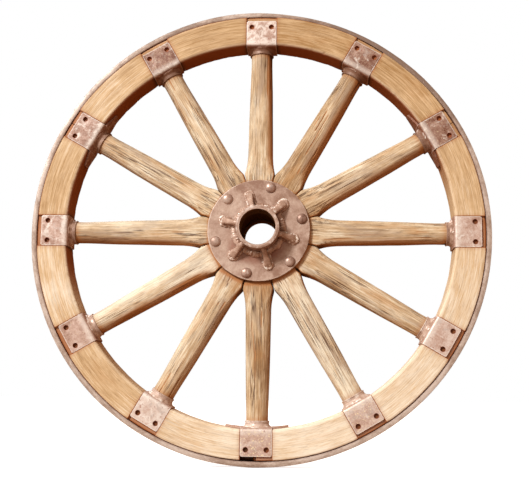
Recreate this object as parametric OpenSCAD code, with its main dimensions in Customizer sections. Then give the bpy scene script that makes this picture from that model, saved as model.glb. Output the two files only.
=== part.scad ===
// Twelve-spoke wooden cart wheel with a steel tyre, steel rim saddles and a welded steel hub.
// Origin at the wheel's centre, Y along the axle (front at -Y), Z up. Millimetres.

/* [Tyre] */
// Outside diameter of the tyre
tyre_d = 960; // [940:5:1000]
// Thickness of the tyre's flat bar
tyre_t = 12; // [8:1:14]
// Width of the tyre across the tread
tyre_w = 60; // [50:1:64]

/* [Felloes] */
// Radial depth of the wooden rim
felloe_depth = 63.5; // [60:0.5:68]
// Width of the wooden rim along the axle
felloe_w = 65; // [62:1:70]
// Radius of the rounded arrises on the rim's inner edges
felloe_arris = 5; // [2:0.5:8]
// Gap where two felloes meet
felloe_gap = 1.6; // [0.5:0.1:3]
// Diameter of the dowel across each felloe joint
dowel_d = 14; // [10:1:16]
// Length of each dowel
dowel_l = 50; // [30:2:56]

/* [Spokes] */
// Diameter of a spoke where it enters its ferrule
spoke_tip_d = 45.6; // [40:0.2:46]
// Width of a spoke halfway along
spoke_mid_w = 51; // [47:0.5:54]
// Width of a spoke where it leaves the hub
spoke_neck_w = 53; // [50:0.5:56]
// Thickness of the spokes' feet along the axle
foot_t = 53; // [48:1:58]
// How far the spokes' feet stand in front of the middle of the rim
dish = 6; // [0:0.5:10]

/* [Saddles] */
// Width of each saddle round the rim
saddle_w = 64; // [56:1:70]
// Plate thickness of the saddles
saddle_t = 5; // [4:0.5:6]
// Outside bend radius of a saddle
saddle_bend = 8; // [6:0.5:10]
// Distance from a saddle's inner face to the outer edge of its legs
saddle_leg = 57.5; // [52:0.5:60]
// Diameter of the two holes in each leg
saddle_hole_d = 10; // [8:0.5:12]
// Distance between the two holes
saddle_hole_gap = 42; // [34:1:46]
// Distance from the holes to the outer edge of the leg
saddle_hole_edge = 13.5; // [10:0.5:16]
// How far a splice wing reaches from the middle of its saddle
wing_reach = 64; // [50:1:76]
// Width of a splice wing at its tip
wing_tip_w = 22; // [14:1:40]
// Thickness of the splice wings
wing_t = 4; // [3:0.5:4]
// Outside diameter of a spoke ferrule
ferrule_d = 49.6; // [49:0.2:52]
// Length of a spoke ferrule
ferrule_l = 13; // [9:0.5:18]

/* [Hub] */
// Outside diameter of the hub tube
tube_d = 88.9; // [80:0.1:92]
// Wall of the hub tube
tube_wall = 5; // [4:0.5:6]
// Length of the hub tube
tube_l = 168; // [150:1:190]
// Bore of the bushes, which the axle runs in
bore_d = 72.9; // [68:0.1:74]
// Length of the front bush
front_bush_l = 52; // [40:1:60]
// Length of the back bush
back_bush_l = 44; // [36:1:60]
// Diameter of the hub flanges
flange_d = 212; // [208:1:220]
// Thickness of the hub flanges
flange_t = 9.5; // [6:0.5:12]
// Diameter of the circle that the flange bolts stand on
bolt_pcd = 185; // [178:1:188]
// Shank diameter of the flange bolts
bolt_d = 9.5; // [8:0.5:10]
// Diameter of the domed bolt heads
bolt_head_d = 22; // [18:0.5:24]
// Height of the domed bolt heads
bolt_head_h = 6; // [4:0.5:8]
// Width across the flats of the square nuts
nut_w = 18; // [16:0.5:20]
// Thickness of the nuts
nut_t = 8; // [6:0.5:10]
// Diameter of the washers under the nuts
washer_d = 25; // [22:0.5:27]
// Thickness of the washers
washer_t = 2.5; // [1.5:0.5:3]
// Thickness of the gusset ribs
gusset_t = 10; // [6:0.5:12]
// Radius that the gusset ribs reach on the flange
gusset_r = 80; // [70:1:81]
// Height of a gusset rib at the tube
gusset_h = 28; // [16:1:34]
// Height of a gusset rib at its foot
gusset_toe = 6; // [3:0.5:10]
// Leg length of the weld beads round the tube
hub_weld = 10; // [5:0.5:12]
// Leg length of the weld beads round the ferrules
ferrule_weld = 4.5; // [3:0.5:6]

/* [Hidden] */

$fn = 96;
spokes = 12;
pitch = 360 / spokes;              // angle from one spoke to the next
joint_spokes = [2, 6, 10];         // spokes that stand on a felloe joint
felloe_span = 120;                 // angle that one felloe covers
hub_sixth = 60;                    // angle from one flange bolt or gusset to the next
first_bolt = 15;                   // angle of the first flange bolt
first_gusset = 45;                 // angle of the first gusset
overcut = 2;                       // how far cutting tools run past a face

rim_r = tyre_d / 2 - tyre_t;       // outside radius of the felloes
felloe_r = rim_r - felloe_depth;   // inside radius of the felloes
seat_x = felloe_r - 4;             // inner face of the saddles
hole_x = seat_x + saddle_leg - saddle_hole_edge;
leg_corner = 4;                    // rounded outer corners of the saddle legs
seat_play = 0.6;                   // side clearance between saddle and felloe
dowel_x = hole_x - saddle_hole_d / 2 - dowel_d / 2 - 4;
dowel_play = 0.1;

tube_r = tube_d / 2;
bush_r = tube_r - tube_wall;
front_y = -dish - foot_t / 2;      // front faces of the spokes' feet
back_y = front_y + foot_t;         // back faces of the spokes' feet
front_top_y = front_y - flange_t;  // outer face of the front flange
back_top_y = back_y + flange_t;    // outer face of the back flange
bolt_play = 0.5;                   // clearance round the bolt shanks
nut_end_l = 5;                     // thread showing past the nuts
bolt_tip_y = back_top_y + washer_t + nut_t + nut_end_l;

foot_r = tube_r + 3;               // inner end of the spokes' feet
foot_end_r = 121;                  // where the foot's straight mitres end
mitre_gap = 0.3;                   // gap between neighbouring feet
foot_inset = 0.4;                  // step from a foot to the rounded body, all round
tip_r = seat_x - 0.2;              // outer end of a spoke, against its saddle
tenon_d = spoke_tip_d - 0.6;       // the spoke's round end inside its ferrule
ferrule_wall = (ferrule_d - tenon_d) / 2 - 0.1;
ferrule_x = seat_x - ferrule_l;    // spoke end of a ferrule
lip_h = 2.5;                       // length and height of the rolled lip on a ferrule
lip_out = 0.8;

wood = "#c79a63";
spoke_wood = "#b98f5e";
steel = "#a88474";
worn_steel = "#c9ab9b";
dark_steel = "#6d5246";

// Stations along a spoke: [radius, width round the wheel, thickness along the axle, squareness]
body_r = foot_end_r - 14;          // where the body starts, inside the foot
body_in_w = 2 * body_r * tan(pitch / 2) - mitre_gap - 3;
foot_end_w = 2 * foot_end_r * tan(pitch / 2) - mitre_gap;
tip_start_r = ferrule_x - 22;      // where the straight round tip begins
spoke_stations = [
    [body_r, body_in_w, foot_t - 3, 8],
    [foot_end_r, foot_end_w - 2 * foot_inset, foot_t - 2 * foot_inset, 7],
    [foot_end_r + 5, spoke_neck_w + 9.3, foot_t - 1.1, 4.6],
    [foot_end_r + 11, spoke_neck_w + 6.8, foot_t - 1.3, 3.7],
    [foot_end_r + 19, spoke_neck_w + 3.8, foot_t - 1.6, 3.1],
    [foot_end_r + 29, spoke_neck_w + 1.4, foot_t - 2.2, 2.8],
    [foot_end_r + 41, spoke_neck_w, foot_t - 2.8, 2.6],
    [foot_end_r + 70, spoke_neck_w - 0.6, foot_t - 3.4, 2.4],
    [foot_end_r + 129, spoke_mid_w, foot_t - 4.4, 2.25],
    [foot_end_r + 179, (spoke_mid_w + spoke_tip_d) / 2 + 1, foot_t - 5.6, 2.1],
    [tip_start_r, spoke_tip_d, spoke_tip_d, 2],
    [ferrule_x - 0.3, spoke_tip_d, spoke_tip_d, 2]
];
ring_sides = 28;

// Turns a piece drawn along +X to the given angle in the wheel's plane
module at_angle(a) { rotate([0, -a, 0]) children(); }

// Turns a profile or disc drawn about Z so that its axis is the axle, +Z towards the front
module on_axle() { rotate([90, 0, 0]) children(); }

// Cylinder along the axle from y0 to y1
module axle_cylinder(r, y0, y1) { translate([0, y1, 0]) on_axle() cylinder(r = r, h = y1 - y0); }

// Tyre: a flat hoop with slightly rounded tread edges
module tyre() {
    edge = 2;
    color(steel) on_axle() rotate_extrude($fn = 180)
        translate([rim_r, -tyre_w / 2]) union() {
            square([tyre_t - edge, tyre_w]);
            translate([0, edge]) square([tyre_t, tyre_w - 2 * edge]);
            for (y = [edge, tyre_w - edge]) translate([tyre_t - edge, y]) circle(r = edge, $fn = 32);
        }
}

// Cross-section of a felloe: a bar with its two inner arrises rounded
module felloe_profile() {
    r = felloe_arris;
    translate([felloe_r, -felloe_w / 2]) union() {
        translate([0, r]) square([felloe_depth, felloe_w - 2 * r]);
        translate([r, 0]) square([felloe_depth - r, felloe_w]);
        for (y = [r, felloe_w - r]) translate([r, y]) circle(r = r, $fn = 48);
    }
}

// Recess round a felloe that lets one saddle lie flush, with the saddle's two cross holes
module saddle_seat() {
    w = saddle_w + 2 * seat_play;
    translate([0, 0, -w / 2]) linear_extrude(w) difference() {
        translate([seat_x - overcut, -felloe_w]) square([tyre_d / 2 - seat_x, 2 * felloe_w]);
        saddle_section(saddle_t, felloe_depth + 10);
    }
    for (s = [-1, 1]) translate([hole_x, 0, s * saddle_hole_gap / 2])
        axle_cylinder(saddle_hole_d / 2, -felloe_w, felloe_w);
}

// Felloe: one third of the wooden rim, from one joint to the next
module felloe(from) {
    half_gap = felloe_gap / 2;
    color(wood) difference() {
        at_angle(from) on_axle() rotate_extrude(angle = felloe_span, $fn = 180) felloe_profile();
        at_angle(from) translate([0, -felloe_w, -overcut])
            cube([tyre_d, 2 * felloe_w, half_gap + overcut]);
        at_angle(from + felloe_span) translate([0, -felloe_w, -half_gap])
            cube([tyre_d, 2 * felloe_w, half_gap + overcut]);
        for (i = [0 : felloe_span / pitch]) at_angle(from + i * pitch) saddle_seat();
        for (a = [from, from + felloe_span]) at_angle(a) translate([dowel_x, 0, -dowel_l / 2 - 1])
            cylinder(d = dowel_d + 2 * dowel_play, h = dowel_l + 2);
    }
}
module felloe_1() { felloe(joint_spokes[0] * pitch - pitch); }
module felloe_2() { felloe(joint_spokes[1] * pitch - pitch); }
module felloe_3() { felloe(joint_spokes[2] * pitch - pitch); }

// Dowels: a wooden pin across each felloe joint
module felloe_dowels() {
    color(wood) for (s = joint_spokes) at_angle((s - 1) * pitch)
        translate([dowel_x, 0, -dowel_l / 2]) cylinder(d = dowel_d, h = dowel_l);
}

// How far a spoke's middle stands towards the front at a radius: all of the dish at the foot, none at the rim
function lean(r) = dish * min(1, max(0, (tip_start_r - r) / (tip_start_r - foot_end_r)));

// A ring of points on a rounded-square outline, w round the wheel by t along the axle
function ring(r, w, t, n) = [
    for (i = [0 : ring_sides - 1])
        let (a = 360 * i / ring_sides, c = cos(a), s = sin(a))
            [r, t / 2 * sign(c) * pow(abs(c), 2 / n) - lean(r), w / 2 * sign(s) * pow(abs(s), 2 / n)]
];

// Spoke body: a loft through the stations, square at the hub and round at the rim
module spoke_body() {
    n = len(spoke_stations);
    points = [for (st = spoke_stations) each ring(st[0], st[1], st[2], st[3])];
    sides = [
        for (k = [0 : n - 2], i = [0 : ring_sides - 1])
            let (j = (i + 1) % ring_sides, a = k * ring_sides, b = a + ring_sides)
                each [[a + i, b + j, a + j], [a + i, b + i, b + j]]
    ];
    start = [for (i = [0 : ring_sides - 1]) i];
    finish = [for (i = [0 : ring_sides - 1]) n * ring_sides - 1 - i];
    polyhedron(points = points, faces = concat(sides, [start], [finish]));
}

// Spoke foot: a wedge between the flanges, mitred against its neighbours
module spoke_foot() {
    half_in = foot_r * tan(pitch / 2) - mitre_gap / 2;
    half_out = foot_end_r * tan(pitch / 2) - mitre_gap / 2;
    translate([0, back_y, 0]) on_axle() linear_extrude(foot_t) polygon([
        [foot_r, -half_in], [foot_end_r, -half_out], [foot_end_r, half_out], [foot_r, half_in]
    ]);
}

// Spoke: foot, body and round tip, with a half-round groove for each flange bolt beside it
module spoke(i) {
    a = (i - 1) * pitch;
    color(spoke_wood) at_angle(a) difference() {
        union() {
            spoke_foot();
            spoke_body();
            translate([ferrule_x - 8, 0, 0]) rotate([0, 90, 0])
                cylinder(d = tenon_d, h = tip_r - ferrule_x + 8);
        }
        for (s = [-1, 1]) if ((a + s * pitch / 2 - first_bolt + 360) % hub_sixth == 0)
            at_angle(s * pitch / 2) translate([bolt_pcd / 2, 0, 0])
                axle_cylinder(bolt_d / 2 + bolt_play, front_y - overcut, back_y + overcut);
    }
}
module spoke_01() { spoke(1); }
module spoke_02() { spoke(2); }
module spoke_03() { spoke(3); }
module spoke_04() { spoke(4); }
module spoke_05() { spoke(5); }
module spoke_06() { spoke(6); }
module spoke_07() { spoke(7); }
module spoke_08() { spoke(8); }
module spoke_09() { spoke(9); }
module spoke_10() { spoke(10); }
module spoke_11() { spoke(11); }
module spoke_12() { spoke(12); }

// Side view of a U with rounded bends that opens outwards: a saddle's plate, offset inwards by t
module saddle_section(t, leg) {
    r = saddle_bend - t;
    half = felloe_w / 2 - t;
    translate([seat_x + t, -half]) union() {
        translate([r, 0]) square([leg, 2 * half]);
        translate([0, r]) square([leg, 2 * (half - r)]);
        for (y = [r, 2 * half - r]) translate([r, y]) circle(r = r, $fn = 48);
    }
}

// Outline of a saddle leg seen along the axle, with rounded outer corners
module leg_outline() {
    c = leg_corner;
    translate([seat_x - overcut, -saddle_w / 2]) union() {
        square([saddle_leg + overcut - c, saddle_w]);
        translate([0, c]) square([saddle_leg + overcut, saddle_w - 2 * c]);
        for (z = [c, saddle_w - c]) translate([saddle_leg + overcut - c, z]) circle(r = c, $fn = 48);
    }
}

// Splice wings: the inner plate of a joint saddle, run on along the rim and tapered
module splice_wings() {
    intersection() {
        difference() {
            axle_cylinder(felloe_r, -felloe_w / 2, felloe_w / 2);
            axle_cylinder(felloe_r - wing_t, -felloe_w, felloe_w);
        }
        translate([seat_x - 20, 0, 0]) rotate([0, 90, 0]) linear_extrude(60) polygon([
            for (s = [-1, 1]) each [
                [s * (saddle_w / 2 - 8), s * (felloe_w / 2 - saddle_bend)],
                [s * saddle_w / 2, s * (felloe_w / 2 - saddle_bend)],
                [s * wing_reach, s * wing_tip_w / 2],
                [s * wing_reach, -s * wing_tip_w / 2],
                [s * saddle_w / 2, -s * (felloe_w / 2 - saddle_bend)],
                [s * (saddle_w / 2 - 8), -s * (felloe_w / 2 - saddle_bend)]
            ]
        ]);
    }
}

// Saddle: a bent steel strap over the felloe, with two open holes near the end of each leg
module saddle(i) {
    color(worn_steel) at_angle((i - 1) * pitch) {
        difference() {
            intersection() {
                translate([0, 0, -saddle_w / 2]) linear_extrude(saddle_w) difference() {
                    saddle_section(0, saddle_leg);
                    saddle_section(saddle_t, saddle_leg + overcut);
                }
                translate([0, felloe_w, 0]) on_axle() linear_extrude(2 * felloe_w) leg_outline();
            }
            for (s = [-1, 1]) translate([hole_x, 0, s * saddle_hole_gap / 2])
                axle_cylinder(saddle_hole_d / 2, -felloe_w, felloe_w);
        }
        if (len(search(i, joint_spokes)) > 0) splice_wings();
    }
}
module saddle_01() { saddle(1); }
module saddle_02() { saddle(2); }
module saddle_03() { saddle(3); }
module saddle_04() { saddle(4); }
module saddle_05() { saddle(5); }
module saddle_06() { saddle(6); }
module saddle_07() { saddle(7); }
module saddle_08() { saddle(8); }
module saddle_09() { saddle(9); }
module saddle_10() { saddle(10); }
module saddle_11() { saddle(11); }
module saddle_12() { saddle(12); }

// Ferrule: a short tube with a rolled lip that holds a spoke's round tip
module ferrule(i) {
    outer_r = ferrule_d / 2;
    inner_r = outer_r - ferrule_wall;
    color(steel) at_angle((i - 1) * pitch) translate([ferrule_x, 0, 0]) rotate([0, 90, 0])
        rotate_extrude() union() {
            translate([inner_r, 0]) square([ferrule_wall, ferrule_l]);
            translate([outer_r + lip_out - lip_h / 2, lip_h / 2]) circle(d = lip_h, $fn = 32);
        }
}
module ferrule_01() { ferrule(1); }
module ferrule_02() { ferrule(2); }
module ferrule_03() { ferrule(3); }
module ferrule_04() { ferrule(4); }
module ferrule_05() { ferrule(5); }
module ferrule_06() { ferrule(6); }
module ferrule_07() { ferrule(7); }
module ferrule_08() { ferrule(8); }
module ferrule_09() { ferrule(9); }
module ferrule_10() { ferrule(10); }
module ferrule_11() { ferrule(11); }
module ferrule_12() { ferrule(12); }

// Weld beads between the ferrules and the saddles
module ferrule_welds() {
    r = ferrule_d / 2;
    w = ferrule_weld;
    color(dark_steel) for (i = [1 : spokes]) at_angle((i - 1) * pitch)
        translate([seat_x - w, 0, 0]) rotate([0, 90, 0])
            rotate_extrude() polygon([[r, 0], [r + w, w], [r, w]]);
}

// Hub tube: heavy pipe through both flanges
module hub_tube() {
    color(steel) difference() {
        axle_cylinder(tube_r, -tube_l / 2, tube_l / 2);
        axle_cylinder(bush_r, -tube_l, tube_l);
    }
}

// Bush pressed into one end of the hub tube
module bush(y0, y1) {
    color(dark_steel) difference() {
        axle_cylinder(bush_r, y0, y1);
        axle_cylinder(bore_d / 2, y0 - overcut, y1 + overcut);
    }
}
module front_bush() { bush(-tube_l / 2, -tube_l / 2 + front_bush_l); }
module back_bush() { bush(tube_l / 2 - back_bush_l, tube_l / 2); }

// Hub flange: a round plate with a hole for the tube and a ring of bolt holes
module flange(y0, y1) {
    color(steel) difference() {
        axle_cylinder(flange_d / 2, y0, y1);
        axle_cylinder(tube_r, y0 - overcut, y1 + overcut);
        for (k = [0 : 5]) at_angle(first_bolt + k * hub_sixth) translate([bolt_pcd / 2, 0, 0])
            axle_cylinder(bolt_d / 2 + bolt_play, y0 - overcut, y1 + overcut);
    }
}
module front_flange() { flange(front_top_y, front_y); }
module back_flange() { flange(back_y, back_top_y); }

// Six gusset ribs, each a sloping plate from the tube to a flange face in the plane Y = 0
module gusset_set() {
    difference() {
        for (k = [0 : 5]) at_angle(first_gusset + k * hub_sixth)
            translate([0, 0, -gusset_t / 2]) linear_extrude(gusset_t) polygon([
                [tube_r - 4, 0], [gusset_r, 0], [gusset_r, -gusset_toe],
                [tube_r, -gusset_h], [tube_r - 4, -gusset_h]
            ]);
        axle_cylinder(tube_r, -tube_l, tube_l);
    }
}
module front_gussets() { color(steel) translate([0, front_top_y, 0]) gusset_set(); }
module back_gussets() { color(steel) translate([0, back_top_y, 0]) mirror([0, 1, 0]) gusset_set(); }

// Weld bead round the tube on a flange face in the plane Y = 0, broken by the gussets
module hub_weld_set() {
    difference() {
        on_axle() rotate_extrude() polygon([[tube_r, 0], [tube_r + hub_weld, 0], [tube_r, hub_weld]]);
        for (k = [0 : 5]) at_angle(first_gusset + k * hub_sixth)
            translate([0, -tube_l, -gusset_t / 2]) cube([gusset_r, 2 * tube_l, gusset_t]);
    }
}
module front_hub_weld() { color(dark_steel) translate([0, front_top_y, 0]) hub_weld_set(); }
module back_hub_weld() { color(dark_steel) translate([0, back_top_y, 0]) mirror([0, 1, 0]) hub_weld_set(); }

// Repeats a piece drawn on the axle at each of the six flange bolts
module at_bolts() {
    for (k = [0 : 5]) at_angle(first_bolt + k * hub_sixth) translate([bolt_pcd / 2, 0, 0]) children();
}

// Flange bolts: domed heads on the front, shanks through both flanges
module hub_bolts() {
    r = bolt_head_d / 2;
    dome_r = (r * r + bolt_head_h * bolt_head_h) / (2 * bolt_head_h);
    color(steel) at_bolts() {
        axle_cylinder(bolt_d / 2, front_top_y - 0.5, bolt_tip_y);
        translate([0, front_top_y, 0]) intersection() {
            translate([0, dome_r - bolt_head_h, 0]) sphere(r = dome_r);
            axle_cylinder(r + 1, -bolt_head_h - 1, 0);
        }
    }
}

// Washers under the nuts on the back flange
module hub_washers() {
    color(steel) at_bolts() difference() {
        axle_cylinder(washer_d / 2, back_top_y, back_top_y + washer_t);
        axle_cylinder(bolt_d / 2 + bolt_play, back_top_y - overcut, back_top_y + washer_t + overcut);
    }
}

// Square nuts on the back flange
module hub_nuts() {
    y0 = back_top_y + washer_t;
    color(dark_steel) at_bolts() difference() {
        translate([-nut_w / 2, y0, -nut_w / 2]) cube([nut_w, nut_t, nut_w]);
        axle_cylinder(bolt_d / 2, y0 - overcut, y0 + nut_t + overcut);
    }
}

tyre();
felloe_1();
felloe_2();
felloe_3();
felloe_dowels();
spoke_01();
spoke_02();
spoke_03();
spoke_04();
spoke_05();
spoke_06();
spoke_07();
spoke_08();
spoke_09();
spoke_10();
spoke_11();
spoke_12();
saddle_01();
saddle_02();
saddle_03();
saddle_04();
saddle_05();
saddle_06();
saddle_07();
saddle_08();
saddle_09();
saddle_10();
saddle_11();
saddle_12();
ferrule_01();
ferrule_02();
ferrule_03();
ferrule_04();
ferrule_05();
ferrule_06();
ferrule_07();
ferrule_08();
ferrule_09();
ferrule_10();
ferrule_11();
ferrule_12();
ferrule_welds();
hub_tube();
front_bush();
back_bush();
front_flange();
back_flange();
front_gussets();
back_gussets();
front_hub_weld();
back_hub_weld();
hub_bolts();
hub_washers();
hub_nuts();
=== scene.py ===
"""Looks of the twelve-spoke wooden cart wheel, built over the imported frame."""
import math

import bmesh
import bpy
import numpy as np
from mathutils import Matrix, Vector


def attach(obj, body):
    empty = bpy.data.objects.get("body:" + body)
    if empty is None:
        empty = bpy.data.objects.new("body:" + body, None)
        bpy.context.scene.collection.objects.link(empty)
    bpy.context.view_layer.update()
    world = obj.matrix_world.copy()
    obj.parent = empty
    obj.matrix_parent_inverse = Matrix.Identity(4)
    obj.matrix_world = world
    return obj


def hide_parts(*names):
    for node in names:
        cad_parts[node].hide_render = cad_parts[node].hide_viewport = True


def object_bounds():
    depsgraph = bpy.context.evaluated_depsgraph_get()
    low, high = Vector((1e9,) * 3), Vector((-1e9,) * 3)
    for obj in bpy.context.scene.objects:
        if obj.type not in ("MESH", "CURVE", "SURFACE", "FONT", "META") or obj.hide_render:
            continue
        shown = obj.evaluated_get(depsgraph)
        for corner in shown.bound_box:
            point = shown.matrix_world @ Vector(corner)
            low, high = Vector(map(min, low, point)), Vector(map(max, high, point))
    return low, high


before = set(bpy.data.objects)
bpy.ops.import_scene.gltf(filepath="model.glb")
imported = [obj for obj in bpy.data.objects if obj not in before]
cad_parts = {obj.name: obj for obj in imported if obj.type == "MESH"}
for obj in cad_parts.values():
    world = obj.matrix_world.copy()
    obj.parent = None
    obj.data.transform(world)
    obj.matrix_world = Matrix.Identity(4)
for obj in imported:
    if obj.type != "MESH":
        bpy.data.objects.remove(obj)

CAD_BOX = [list(corner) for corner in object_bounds()]
MM = 0.001  # the builders below work in millimetres

# --- the wheel's sizes, in millimetres
PITCH = 30.0  # degrees from one spoke to the next
JOINTS = (30.0, 150.0, 270.0)  # degrees at which the felloes meet

TYRE_R, TYRE_HALF = 480.0, 30.0
FELLOE_IN, FELLOE_OUT, FELLOE_HALF = 404.5, 468.0, 32.5
RIM_MID = 436.0  # radius at which lengths along a felloe's grain are measured
SEAT_X, PLATE_T, SADDLE_HALF = 400.5, 5.0, 32.0  # a saddle's inner face, its plate, half its width
LEG_END, HOLE_X, HOLE_Z, HOLE_R = 458.0, 444.5, 21.0, 5.0  # a saddle's side: its end and its holes
FERRULE_R, FERRULE_T, FERRULE_X, LIP_R = 24.8, 1.6, 387.5, 1.25
FOOT_R, FOOT_END, FOOT_T, DISH = 47.6, 121.0, 53.0, 6.0  # DISH: how far forward the feet stand
TIP_FROM, TIP_END, TIP_D = 365.5, 400.2, 45.6  # a spoke's round tip
TUBE_R, TUBE_WALL, TUBE_END, BORE_R = 44.45, 5.0, 84.0, 36.45
BUSH_ENDS = {"front": (-TUBE_END, -32.0), "back": (40.0, TUBE_END)}
FLANGE_R, FLANGE_T, FRONT_Y, BACK_Y = 106.0, 9.5, -42.0, 30.0
BOLT_RING, BOLT_FIRST, HEAD_R, HEAD_H, THREAD_R, THREAD_PITCH = 92.5, 15.0, 11.0, 5.3, 4.75, 1.5
GUSSET_FIRST, GUSSET_END = 45.0, 80.5


# --- noise
def cell_value(ix, iy, iz, seed):
    """A fixed number from 0 to 1 for each whole-number cell."""
    h = (ix * 73856093) ^ (iy * 19349663) ^ (iz * 83492791) ^ (seed * 40503 + 977)
    for _ in range(2):
        h = h & 0xFFFFFFFF
        h = ((h ^ (h >> 16)) * 0x45D9F3B) & 0xFFFFFFFF
    return ((h ^ (h >> 16)) & 0xFFFFFF) / float(0xFFFFFF)


def noise3(p, seed):
    """Smooth noise from -1 to 1 at points p (..., 3), whose cells are one unit across."""
    cell = np.floor(p).astype(np.int64)
    f = p - cell
    f = f * f * (3 - 2 * f)
    total = 0
    for corner in range(8):
        d = np.array([corner & 1, corner >> 1 & 1, corner >> 2 & 1])
        weight = np.prod(np.where(d, f, 1 - f), axis=-1)
        at = cell + d
        total = total + weight * cell_value(at[..., 0], at[..., 1], at[..., 2], seed)
    return total * 2 - 1


def fbm(p, seed, octaves=3):
    """Noise in octaves, each twice as fine and half as strong."""
    total, size = 0, 0
    for k in range(octaves):
        total = total + noise3(p * 2**k, seed + 31 * k) / 2**k
        size += 1 / 2**k
    return total / size


def smooth(low, high, x):
    """0 below low, 1 above high, and a smooth step between."""
    t = np.clip((x - low) / (high - low), 0, 1)
    return t * t * (3 - 2 * t)


def grid3(*columns):
    return np.stack(np.broadcast_arrays(*columns), -1).astype(float)


def circle(count):
    """Even angles round a circle, in radians."""
    return np.linspace(0, 2 * np.pi, count, endpoint=False)


# --- mesh building
def turned(p, degrees):
    """Points of a local frame (radial, axial, tangential) turned to their place on the wheel."""
    a = math.radians(degrees)
    x, y, z = p[..., 0], p[..., 1], p[..., 2]
    return np.stack([x * math.cos(a) - z * math.sin(a), y, x * math.sin(a) + z * math.cos(a)], -1)


def spun(radius, y, angle):
    """Points at a radius, an axial place and an angle in radians."""
    return grid3(radius * np.cos(angle), y, radius * np.sin(angle))


class Shape:
    """Gathers the surfaces of one piece, in millimetres, with the values its material reads.

    local: place within the piece, for grain; mask: at each point, rubbed places together with painted
    highlight, soiling together with painted shade, and a tone that also carries painted light and shade."""

    def __init__(self, seed):
        self.points, self.local, self.mask, self.faces = [], [], [], []
        self.count, self.seed = 0, seed

    def add(self, points, faces, local, wear=0.0, grime=0.0, tone=0.0):
        n = len(points)
        self.points.append(points)
        self.local.append(local)
        mask = np.stack([np.broadcast_to(np.asarray(v, float), (n,)) for v in (wear, grime, tone)], -1)
        self.mask.append(mask)
        self.faces += [tuple(i + self.count for i in f) for f in faces]
        self.count += n

    def add_grid(self, points, local, ring=False, caps=(True, True), **masks):
        """Rows of closed loops: a tube with flat caps, or with ring=True one closed on itself."""
        rows, cols = points.shape[:2]
        faces = []
        for i in range(rows if ring else rows - 1):
            a, b = i * cols, (i + 1) % rows * cols
            for j in range(cols):
                k = (j + 1) % cols
                faces.append((a + j, a + k, b + k, b + j))
        if not ring and caps[0]:
            faces.append(tuple(range(cols - 1, -1, -1)))
        if not ring and caps[1]:
            faces.append(tuple((rows - 1) * cols + j for j in range(cols)))
        flat = {k: np.broadcast_to(v, (rows, cols)).ravel() for k, v in masks.items()}
        self.add(points.reshape(-1, 3), faces, local.reshape(-1, 3), **flat)

    def build(self, name, nodes, slot, crease, look=None):
        """Makes the Blender piece, which stands for these CAD nodes, in its slot's material."""
        mesh = bpy.data.meshes.new(name)
        points = np.concatenate(self.points) * MM
        mesh.from_pydata(points.tolist(), [], self.faces)
        store(mesh, "local", np.concatenate(self.local) * MM)
        store(mesh, "mask", np.concatenate(self.mask))
        offset = np.array([cell_value(self.seed, k, 7, 5) for k in range(3)]) * 10
        store(mesh, "seed", np.broadcast_to(offset, points.shape))
        mesh.materials.append(LOOKS[look or slot])
        bm = bmesh.new()
        bm.from_mesh(mesh)
        bmesh.ops.recalc_face_normals(bm, faces=bm.faces)
        bm.to_mesh(mesh)
        bm.free()
        mesh.shade_smooth()
        mesh.set_sharp_from_angle(angle=math.radians(crease))
        piece = new_object(name, mesh)
        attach(piece, "root")
        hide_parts(*nodes)


def new_object(name, data):
    """An object in the scene."""
    made = bpy.data.objects.new(name, data)
    bpy.context.scene.collection.objects.link(made)
    return made


def build_grid(name, node, slot, crease, seed, points, local, **settings):
    """A piece that is one grid of points."""
    shape = Shape(seed)
    shape.add_grid(points, local, **settings)
    shape.build(name, [node], slot, crease)


def store(mesh, name, values):
    """Keeps a vector at each of the mesh's points."""
    attribute = mesh.attributes.new(name, "FLOAT_VECTOR", "POINT")
    attribute.data.foreach_set("vector", np.ascontiguousarray(values, np.float32).ravel())


def even_loop(loop, count):
    """A closed outline (n, 2) given again as count points at even steps along it."""
    closed = np.vstack([loop, loop[:1]])
    step = np.hypot(*np.diff(closed, axis=0).T)
    s = np.concatenate([[0], np.cumsum(step)])
    at = np.linspace(0, s[-1], count, endpoint=False)
    return np.stack([np.interp(at, s, closed[:, 0]), np.interp(at, s, closed[:, 1])], -1)


def squircle(t, w, n, count):
    """Outline t by w on a superellipse of power n, from the front round, at even steps."""
    a = np.linspace(0, 2 * np.pi, 721)[:-1]
    c, s = np.cos(a), np.sin(a)
    y = t / 2 * np.sign(c) * np.abs(c) ** (2 / n)
    z = w / 2 * np.sign(s) * np.abs(s) ** (2 / n)
    return even_loop(np.stack([y, z], -1), count)


def box_loop(x0, x1, half, r_in, r_out, count):
    """Outline from x0 to x1 and half to each side, with its inner and outer corners rounded."""
    loop = []
    corners = (
        (x1 - r_out, half - r_out, r_out, 0),
        (x0 + r_in, half - r_in, r_in, 90),
        (x0 + r_in, r_in - half, r_in, 180),
        (x1 - r_out, r_out - half, r_out, 270),
    )
    for cx, cy, r, start in corners:
        for a in np.radians(np.linspace(start, start + 90, 7)):
            loop.append((cx + r * math.cos(a), cy + r * math.sin(a)))
    loop = np.array([(x1, 0.0)] + loop)
    return even_loop(loop, count)


def tube_along(path, radius, cols):
    """Rows of circles round a path of points, with a radius for each point of each circle."""
    ahead = np.gradient(path, axis=0)
    ahead /= np.linalg.norm(ahead, axis=1, keepdims=True)
    side = np.cross(ahead, np.array((0.0, 1.0, 0.0)))
    side /= np.linalg.norm(side, axis=1, keepdims=True)
    top = np.cross(side, ahead)
    a = circle(cols)
    ring = side[:, None] * np.cos(a)[None, :, None] + top[:, None] * np.sin(a)[None, :, None]
    return path[:, None] + ring * radius[..., None]


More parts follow.
